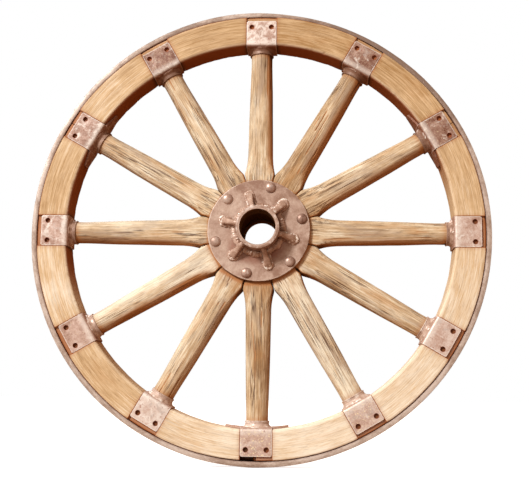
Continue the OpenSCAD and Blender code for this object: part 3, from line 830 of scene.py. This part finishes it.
def bevelled(node, width, segments, seed):
    """The CAD node's own shape with its edges rounded over, as a Shape."""
    bm = bmesh.new()
    bm.from_mesh(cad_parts[node].data)
    bmesh.ops.remove_doubles(bm, verts=bm.verts, dist=1e-5)
    bmesh.ops.dissolve_limit(bm, angle_limit=math.radians(0.5), verts=bm.verts, edges=bm.edges)
    sharp = [e for e in bm.edges if len(e.link_faces) == 2 and e.calc_face_angle(0) > math.radians(28)]
    bmesh.ops.bevel(bm, geom=sharp, offset=width * MM, segments=segments, profile=0.6, affect="EDGES",
                    clamp_overlap=True)
    bmesh.ops.triangulate(bm, faces=[f for f in bm.faces if len(f.verts) > 4])
    points = np.array([v.co for v in bm.verts]) / MM
    faces = [tuple(v.index for v in f.verts) for f in bm.faces]
    bm.free()
    return Shape(seed), points, faces


def build_saddle(number):
    """A steel strap bent over the rim; the inner faces of those at the top are painted darker, as painted
    shade.
    """
    degrees = place_of(number)
    node = f"saddle_{number:02d}"
    shape, points, faces = bevelled(node, 0.8, 3, 200 + number)
    wear, speck, tone = SADDLE_WEAR[number]
    local = turned(points, -degrees)
    inner = smooth(SEAT_X + PLATE_T + 0.6, SEAT_X + PLATE_T - 0.4, local[:, 0])
    # painted shade on the inner faces of the saddles at the top
    upper = max(0.0, math.sin(math.radians(degrees + 20)))
    painted_under_shade = inner * upper * smooth(-32.3, -31.0, local[:, 1])
    shape.add(points, faces, local, wear=wear * (1 - painted_under_shade), grime=speck, tone=tone - 2.2 * painted_under_shade)
    shape.build(f"{node}_plate", [node], "saddle_steel", 30)


def lathe(profile, angles, seed, dent, dent_scale=12.0):
    """Rows of (place along, radius) spun round the first axis, slightly dented."""
    along, radius = profile[:, 0], profile[:, 1]
    a = angles[None, :]
    ring = grid3(along[:, None], radius[:, None] * np.cos(a), radius[:, None] * np.sin(a))
    bumps = fbm(ring / dent_scale + seed, seed, 2)
    scale = 1 - dent * np.maximum(0, bumps) / np.maximum(radius[:, None], 1)
    return ring * np.stack([np.ones_like(scale), scale, scale], -1), bumps


def ferrule_painted_light(number):
    """Painted light and shade: ferrules and their welds are painted paler under the hub than over it."""
    return -0.9 * math.sin(math.radians(place_of(number)))


def build_ferrule(number):
    """A thin tube with a rolled lip, open towards its spoke."""
    lip = [(FERRULE_X + LIP_R + LIP_R * math.cos(a), FERRULE_R + 0.8 - LIP_R + LIP_R * math.sin(a))
           for a in np.radians(np.linspace(15, 190, 9))]
    outside = [(SEAT_X, FERRULE_R), (SEAT_X - 5, FERRULE_R), (SEAT_X - 8, FERRULE_R)]
    inner = FERRULE_R - FERRULE_T
    inside = [(FERRULE_X + 0.2, inner), (FERRULE_X + 6, inner), (SEAT_X, inner)]
    profile = np.array(outside + lip + inside)
    points, bumps = lathe(profile, circle(72), 300 + number, 0.35, 9.0)
    wear = np.clip(0.2 + 0.7 * bumps, 0, 1)
    # painted shade: its inside, round the spoke, is painted the darkest brown
    hidden = (profile[:, 1] < FERRULE_R - 0.9).astype(float)[:, None]
    node = f"ferrule_{number:02d}"
    build_grid(f"{node}_tube", node, "ferrule_steel", 45, 300 + number,
               turned(points, place_of(number)), points, ring=True, wear=wear * (1 - hidden),
               grime=hidden, tone=ferrule_painted_light(number))


FILLET = (  # along from the saddle's face, and out from the ferrule
    (1.0, 4.6), (0.0, 4.5), (-0.9, 3.9), (-1.7, 3.0), (-2.6, 2.0), (-3.8, 1.1), (-5.2, 0.5), (-6.4, -0.2),
    (-4.0, -0.9), (1.0, -0.9),
)


def fillet(turn, seed):
    """A lumpy weld fillet between a saddle's inner face and its ferrule."""
    along, out = np.array(FILLET).T
    around = grid3(np.cos(turn) * 4.5, np.sin(turn) * 4.5, 0)
    lump = fbm(around[None, :] + grid3(0, 0, along / 5)[:, None] + seed * 3.1, seed, 3)
    swell = np.clip(out, 0, 3) / 3
    radius = FERRULE_R + out[:, None] * (1 + 0.35 * lump) + 0.6 * swell[:, None] * lump
    x = SEAT_X + along[:, None] * (1 + 0.35 * lump * swell[:, None])
    points = grid3(x, radius * np.cos(turn), radius * np.sin(turn))
    return points, np.clip(0.3 + 1.1 * lump, 0, 1) * swell[:, None]


def build_ferrule_welds():
    shape = Shape(330)
    for number in range(1, 13):
        points, wear = fillet(circle(96), 340 + number)
        shape.add_grid(turned(points, place_of(number)), points, ring=True, wear=wear,
                       tone=ferrule_painted_light(number))
    shape.build("ferrule_weld_beads", ["ferrule_welds"], "weld_metal", 60)


# --- hub
AXLE_FIRST = [1, 0, 2]  # turns a lathe's axis from x to the axle's y
GUSSET_HEIGHT = ((TUBE_R, 27.0), (52, 24.5), (66, 16.0), (77, 9.5), (GUSSET_END, 4.0))  # at radius
GUSSET_HALF = ((TUBE_R, 5.6), (58, 5.2), (70, 7.4), (76, 8.4), (GUSSET_END, 5.0))  # half its width


def face_of(side):
    """A flange's outer face along the axle, and which way it looks."""
    return (FRONT_Y, -1) if side == "front" else (BACK_Y, 1)


def seed_of(side, front_seed):
    """The back's pieces have seeds ten above the front's."""
    return front_seed if side == "front" else front_seed + 10


def build_flange(side):
    """A round plate: slightly dished by hammering, its rim rounded and rubbed pale."""
    outer_y, sign = face_of(side)
    inner_y = outer_y - sign * FLANGE_T
    r = np.concatenate([[TUBE_R - 0.5], np.arange(47, 103, 2.0), [103.2, 104.2]])
    rim = [(FLANGE_R - 1.3 + 1.3 * math.sin(a), 1.3 - 1.3 * math.cos(a))
           for a in np.radians([0, 22, 45, 68, 90])]
    depth = np.concatenate([np.zeros(len(r)), [p[1] for p in rim], [FLANGE_T - 0.8, FLANGE_T, FLANGE_T]])
    r = np.concatenate([r, [p[0] for p in rim], [FLANGE_R, FLANGE_R - 0.8, TUBE_R - 0.5]])
    a = circle(288)[None, :]
    place = spun(r[:, None], 0 * a, a)
    dents = fbm(place / 13, 401 if side == "front" else 402, 3)
    facing = (depth < 1.0)[:, None]
    inward = np.where(facing, np.maximum(0, 0.28 * dents + 0.1), 0)
    edge_cut = np.maximum(0, 0.5 * fbm(place / 7, 403, 2)) * smooth(FLANGE_R - 2, FLANGE_R, r)[:, None]
    y = outer_y - sign * (depth[:, None] + inward)
    y = np.where(depth[:, None] >= FLANGE_T - 0.9, inner_y, y)
    wear = 0.95 * smooth(FLANGE_R - 2.6, FLANGE_R - 0.8, r)[:, None] * facing
    by_bolts = np.cos(np.radians(6 * (np.degrees(a) - BOLT_FIRST)))
    paling = 0.2 * np.cos(a - math.radians(225)) - 0.08
    # painted shadow of the tube: the front flange is painted darker in a sector under the tube
    shadow_side = smooth(-0.1, 0.8, np.cos(a - math.radians(268)))
    dirt_and_shade = smooth(30, 0, r - TUBE_R)[:, None] * 0.15
    dirt_and_shade = dirt_and_shade + 0.75 * shadow_side * smooth(86, 62, r)[:, None] * (side == "front")
    points = spun(r[:, None] - edge_cut, y, a)
    build_grid(f"{side}_flange_plate", f"{side}_flange", "hub_steel", 40, seed_of(side, 400), points,
               points, ring=True, wear=wear, grime=np.clip(dirt_and_shade, 0, 1),
               tone=0.5 * dents + 0.1 * by_bolts + paling)


def build_tube():
    """The hub pipe, turned at its ends, with its outside pitted."""
    end, wall = TUBE_END, TUBE_R - TUBE_WALL
    profile = [(-end, wall), (-end, wall + 0.2), (-end, TUBE_R - 1.2), (-end + 0.4, TUBE_R - 0.35)]
    profile += [(-end + 1.2, TUBE_R)] + [(y, TUBE_R) for y in np.arange(-end + 4, end - 3, 3.0)]
    profile += [(end - 1.2, TUBE_R), (end - 0.4, TUBE_R - 0.35), (end, TUBE_R - 1.2), (end, wall)]
    profile += [(y, wall) for y in np.arange(end - 4, -end, -8.0)]
    profile = np.array(profile)
    ring, bumps = lathe(profile, circle(192), 420, 0.5, 10.0)
    points = ring[..., AXLE_FIRST]
    # painted shade: the inside of the tube is painted the darkest brown
    inside = (profile[:, 1] < wall + 0.1)[:, None] * 1.0
    rim = smooth(end - 2.5, end - 0.5, np.abs(profile[:, 0]))[:, None]
    build_grid("hub_pipe", "hub_tube", "hub_steel", 35, 420, points, points, ring=True,
               wear=rim * (1 - inside) * 0.8, grime=inside, tone=0.5 * bumps - 0.4)


def build_bush(side):
    """A bored liner in one end of the tube, its end faces and mouth chamfered."""
    y0, y1 = BUSH_ENDS[side]
    inner, outer = BORE_R, TUBE_R - TUBE_WALL
    profile = [(y0 + 0.8, inner)] + [(y, inner) for y in np.linspace(y0, y1, 12)[1:-1]]
    profile += [(y1 - 0.8, inner), (y1, inner + 0.8), (y1, outer), (y0, outer), (y0, inner + 0.8)]
    profile = np.array(profile)
    ring, bumps = lathe(profile, circle(144), 430, 0.0, 8.0)
    points = ring[..., AXLE_FIRST]
    # painted shade: all but the outer end face is painted somewhat darker
    inside = smooth(0.0, 0.5, TUBE_END - np.abs(profile[:, 0]))[:, None]
    build_grid(f"{side}_bush_liner", f"{side}_bush", "bush_iron", 35, 430 if side == "front" else 431,
               points, points, ring=True, wear=1.2 * (1 - inside), grime=0.4 * inside, tone=0.5 * bumps)


def gusset_place(k):
    """Degrees round the hub of rib k, which stands a little off its even place."""
    return GUSSET_FIRST + k * 60 + 1.0


def gusset_swing(side, k, x):
    """How far rib k leans aside at radius x."""
    return 2.2 * (cell_value(seed_of(side, 440) + k, 1, 1, 9) - 0.5) * (x - TUBE_R) / 36


def build_gussets(side):
    """Six sloping ribs between the tube and a flange, each with a blunt, lumpy toe."""
    face, sign = face_of(side)
    shape = Shape(seed_of(side, 440))
    x = np.linspace(TUBE_R - 1.5, GUSSET_END, 26)
    height = np.interp(x, *np.array(GUSSET_HEIGHT).T)
    half = np.interp(x, *np.array(GUSSET_HALF).T)
    for k in range(6):
        seed = seed_of(side, 440) + k
        rows = []
        for xi, h, b in zip(x, height, half):
            loop = box_loop(-1.0, h, b, 0.4, min(4.6, b * 0.8, 0.6 * h), 40)
            rows.append(grid3(xi, loop[:, 0], loop[:, 1] + gusset_swing(side, k, xi)))
        rows = np.array(rows)
        lumps = fbm(rows / 10 + seed, seed, 3)
        up = smooth(0.5, 4.0, rows[..., 1])
        rise = rows[..., 1] - up * (0.4 + 0.8 * lumps)
        points = grid3(rows[..., 0], face + sign * rise, rows[..., 2] * (1 + 0.16 * lumps * up))
        top = smooth(0.72, 0.95, rows[..., 1] / height[:, None])
        wear = np.clip(top * (0.35 + 0.5 * lumps) + 0.25 * smooth(72, 79, rows[..., 0]), 0, 1)
        # painted shade down the side of each rib that looks away from the light
        shadow_side = math.cos(math.radians(GUSSET_FIRST + k * 60 + 45))
        shaded_side = up * (1 - top) * smooth(-1, 3, rows[..., 2] * shadow_side)
        shape.add_grid(turned(points, gusset_place(k)), points, wear=wear,
                       grime=0.3 * (1 - up) + 0.8 * shaded_side)
    shape.build(f"{side}_gusset_ribs", [f"{side}_gussets"], "hub_steel", 60, look="weld_metal")


def gusset_bead_path(face, sign):
    """Along one side of a gusset's foot, round its toe and back."""
    x = np.linspace(48, 75, 24)
    out = grid3(x, 0, np.interp(x, (48, 60, 75), (6.6, 6.6, 8.0)))
    a = np.linspace(90, -90, 17)[1:-1]
    toe = grid3(75 + 7.4 * np.cos(np.radians(a)), 0, 8.0 * np.sin(np.radians(a)))
    path = np.concatenate([out, toe, out[::-1] * np.array([1, 1, -1])])
    path[:, 1] = face + sign * 0.6
    return path


def build_hub_weld(side):
    """Beads round the tube between the ribs, and round each rib's foot."""
    face, sign = face_of(side)
    shape = Shape(seed_of(side, 460))
    for k in range(6):
        seed = seed_of(side, 460) + k
        centre = gusset_place(k)
        a = np.radians(np.linspace(centre + 7, centre + 53, 34))
        path = spun(TUBE_R + 5.0, face + sign * 1.0, a)
        points, wear = bead(path, 7.2, 0.42, seed, cols=22)
        shape.add_grid(points, points, wear=wear * 0.8)
        points, wear = bead(gusset_bead_path(face, sign), 3.8, 0.5, seed + 50)
        points[..., 2] += gusset_swing(side, k, points[..., 0])
        shape.add_grid(turned(points, centre), points, wear=wear)
    shape.build(f"{side}_weld_beads", [f"{side}_hub_weld"], "weld_metal", 60)


def build_bolts():
    """Six coach bolts: domed and slightly beaten heads at the front, threaded ends at the back."""
    shape = Shape(480)
    dome = [(0.6 + HEAD_H * math.cos(t), HEAD_R * math.sin(t)) for t in np.linspace(math.pi / 2, 0, 10)]
    head = np.array([(-0.4, HEAD_R * 1.02)] + dome[:-1] + [(dome[-1][0], 0.15)])
    head[:, 0] = -head[:, 0]
    turns = np.arange(-33.0, 45.0, 0.5)
    thread = THREAD_R - 0.45 * (0.5 + 0.5 * np.cos(2 * np.pi * turns / THREAD_PITCH)) * (turns > 24)
    shank = np.array([(-33.5, 0.2)] + list(zip(turns, thread)) + [(45.1, 3.9), (45.4, 0.2)])
    for k in range(6):
        centre = BOLT_FIRST + 60 * k
        ring, bumps = lathe(head, circle(48), 480 + k, 0.3, 6.0)
        points = np.stack([ring[..., 1] + BOLT_RING, ring[..., 0] + FRONT_Y, ring[..., 2]], -1)
        local = points + np.array([40.0 * k, 0, 0])
        # painted highlight with rubbing on the dome's top; painted shade round its foot, where it meets
        # the flange
        wear = smooth(3.0, 5.6, -head[:, 0])[:, None] * 0.4 + 0.3 * bumps
        dirt_and_shade = 0.7 * smooth(0.6, -0.2, -head[:, 0])[:, None]
        shape.add_grid(turned(points, centre), local, wear=np.clip(wear, 0, 1), grime=dirt_and_shade,
                       caps=(False, True))
        ring, bumps = lathe(shank, circle(48)[::2], 490 + k, 0.05, 6.0)
        points = np.stack([ring[..., 1] + BOLT_RING, ring[..., 0], ring[..., 2]], -1)
        shape.add_grid(turned(points, centre), points, wear=0.2, grime=0.25)
    shape.build("hub_coach_bolts", ["hub_bolts"], "fastener_steel", 45)


def build_fittings(node, name, width):
    shape, points, faces = bevelled(node, width, 2, 500)
    shape.add(points, faces, points, wear=0.35)
    shape.build(name, [node], "fastener_steel", 35)


def build_dowels():
    shape, points, faces = bevelled("felloe_dowels", 0.6, 2, 510)
    shape.add(points, faces, points[:, [2, 0, 1]])
    shape.build("felloe_joint_dowels", ["felloe_dowels"], "dowel_wood", 35)


# --- stage, light and camera
def build_floor():
    """A plain pale floor under the wheel, lit almost to white, with the wheel's soft shadow on it."""
    mesh = bpy.data.meshes.new("floor")
    z, reach = CAD_BOX[0][2] - 0.0005, 30.0
    mesh.from_pydata([(-reach, -reach, z), (reach, -reach, z), (reach, reach, z), (-reach, reach, z)], [],
                     [(0, 1, 2, 3)])
    floor = new_object("floor", mesh)
    k = Look("floor_paint")
    k.fill(k.shader, Base_Color=colour("F4F3F1"), Roughness=0.9, Emission_Color=(1, 1, 1, 1),
           Emission_Strength=0.82)
    mesh.materials.append(k.material)
    floor.visible_diffuse = False
    floor.visible_glossy = False


def add_lamp(name, place, size, power, shade):
    """A round lamp that looks at the middle of the wheel."""
    data = bpy.data.lights.new(name, "AREA")
    data.shape, data.size, data.energy, data.color = "DISK", size, power, shade
    lamp = new_object(name, data)
    lamp.location = place
    lamp.rotation_euler = (Vector((0, 0, 0)) - Vector(place)).to_track_quat("-Z", "Y").to_euler()


SURROUND = (  # from the dark side of the room to its bright side: place, linear colour
    (0.2, (0.2, 0.055, 0.012, 1)), (0.45, (0.44, 0.2, 0.09, 1)), (0.8, (0.62, 0.53, 0.45, 1)),
)


def build_light():
    """A big soft lamp up and to the left of the camera, a weaker one behind, and a dim warm surround."""
    toward = Vector((-0.50, -0.71, 0.49)).normalized() * 11.0
    add_lamp("key", toward, 2.2, 1260.0, (0.98, 1.0, 1.0))
    add_lamp("back", Vector((-0.35, 0.8, 0.7)).normalized() * 9.0, 5.0, 220.0, (1.0, 0.99, 0.97))
    world = bpy.data.worlds.new("studio")
    bpy.context.scene.world = world
    world.use_nodes = True
    k = Wiring(world.node_tree)
    direction = k.node("TexCoord").outputs["Generated"]
    bright_side = Vector((-0.45, -0.6, 0.66)).normalized()
    toward = k.node("VectorMath", [direction, bright_side], operation="DOT_PRODUCT").outputs["Value"]
    lift = k.fill(k.node("MapRange"), Value=toward, From_Min=-1.0).outputs[0]
    surround = k.node("Background", [k.ramp(lift, *SURROUND), 1.0]).outputs[0]
    white = k.node("Background", [(1, 1, 1, 1), 1.0]).outputs[0]
    is_camera = k.node("LightPath").outputs["Is Camera Ray"]
    seen = k.node("MixShader", [is_camera, surround, white]).outputs[0]
    k.node("OutputWorld", [seen])


CAMERA_AT = (0.1195, -1.9807, -0.3378)  # metres
CAMERA_AHEAD = (-0.05433, 0.98544, 0.16114)
CAMERA_UP = (-0.00409, -0.16159, 0.98685)


def build_camera():
    """The photo's viewpoint: a little below the hub and to its right, looking slightly up."""
    data = bpy.data.cameras.new("camera")
    data.lens, data.sensor_width, data.sensor_fit = 65.0, 36.0, "HORIZONTAL"
    camera = new_object("camera", data)
    ahead = Vector(CAMERA_AHEAD).normalized()
    right = ahead.cross(Vector(CAMERA_UP)).normalized()
    up = right.cross(ahead)
    turn = Matrix((right, up, -ahead)).transposed().to_4x4()
    camera.matrix_world = Matrix.Translation(CAMERA_AT) @ turn
    data.clip_start, data.clip_end = 0.05, 60.0
    bpy.context.scene.camera = camera


def build_wheel():
    build_tyre()
    for index in range(3):
        build_felloe(index)
    for number in range(1, 13):
        build_spoke(number)
        build_saddle(number)
        build_ferrule(number)
    build_ferrule_welds()
    for side in ("front", "back"):
        build_flange(side)
        build_gussets(side)
        build_hub_weld(side)
    build_tube()
    build_bush("front")
    build_bush("back")
    build_bolts()
    build_fittings("hub_washers", "hub_bolt_washers", 0.3)
    build_fittings("hub_nuts", "hub_square_nuts", 0.9)
    build_dowels()


build_wheel()
build_floor()
build_light()
build_camera()
bpy.context.scene.view_settings.view_transform = "Standard"
